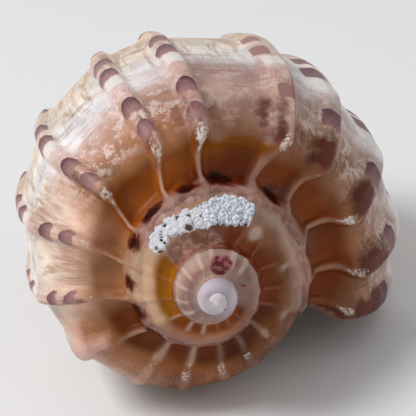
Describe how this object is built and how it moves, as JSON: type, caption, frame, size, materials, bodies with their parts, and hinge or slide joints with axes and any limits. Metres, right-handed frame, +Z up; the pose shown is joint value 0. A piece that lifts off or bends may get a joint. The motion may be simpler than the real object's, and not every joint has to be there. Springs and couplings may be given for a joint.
{
  "type": "harp shell",
  "caption": "Ribbed sea snail shell with a short spire and a wide hollow aperture, lying on its lip and belly, with a white crust on the spire.",
  "frame": {"origin": "Middle of the underside of the box around the shell as it lies, on the floor.", "axes": "+Z is up as the shell lies on its lip and belly. The spire's tip points along -Y, the front end with its notch along +Y, and the outer lip is on the +X side."},
  "size_m": [0.0516, 0.0802, 0.0427],
  "materials": {
    "shell": "Glazed aragonite shell: orange-brown ramps, cream and pink sides, purple-brown bars on the ribs, lilac-white tip.",
    "white_crust": "Matte white lime crust made of tiny cells."
  },
  "bodies": {
    "root": {"shell": "shell", "white_crust": "white_crust"}
  },
  "joints": []
}
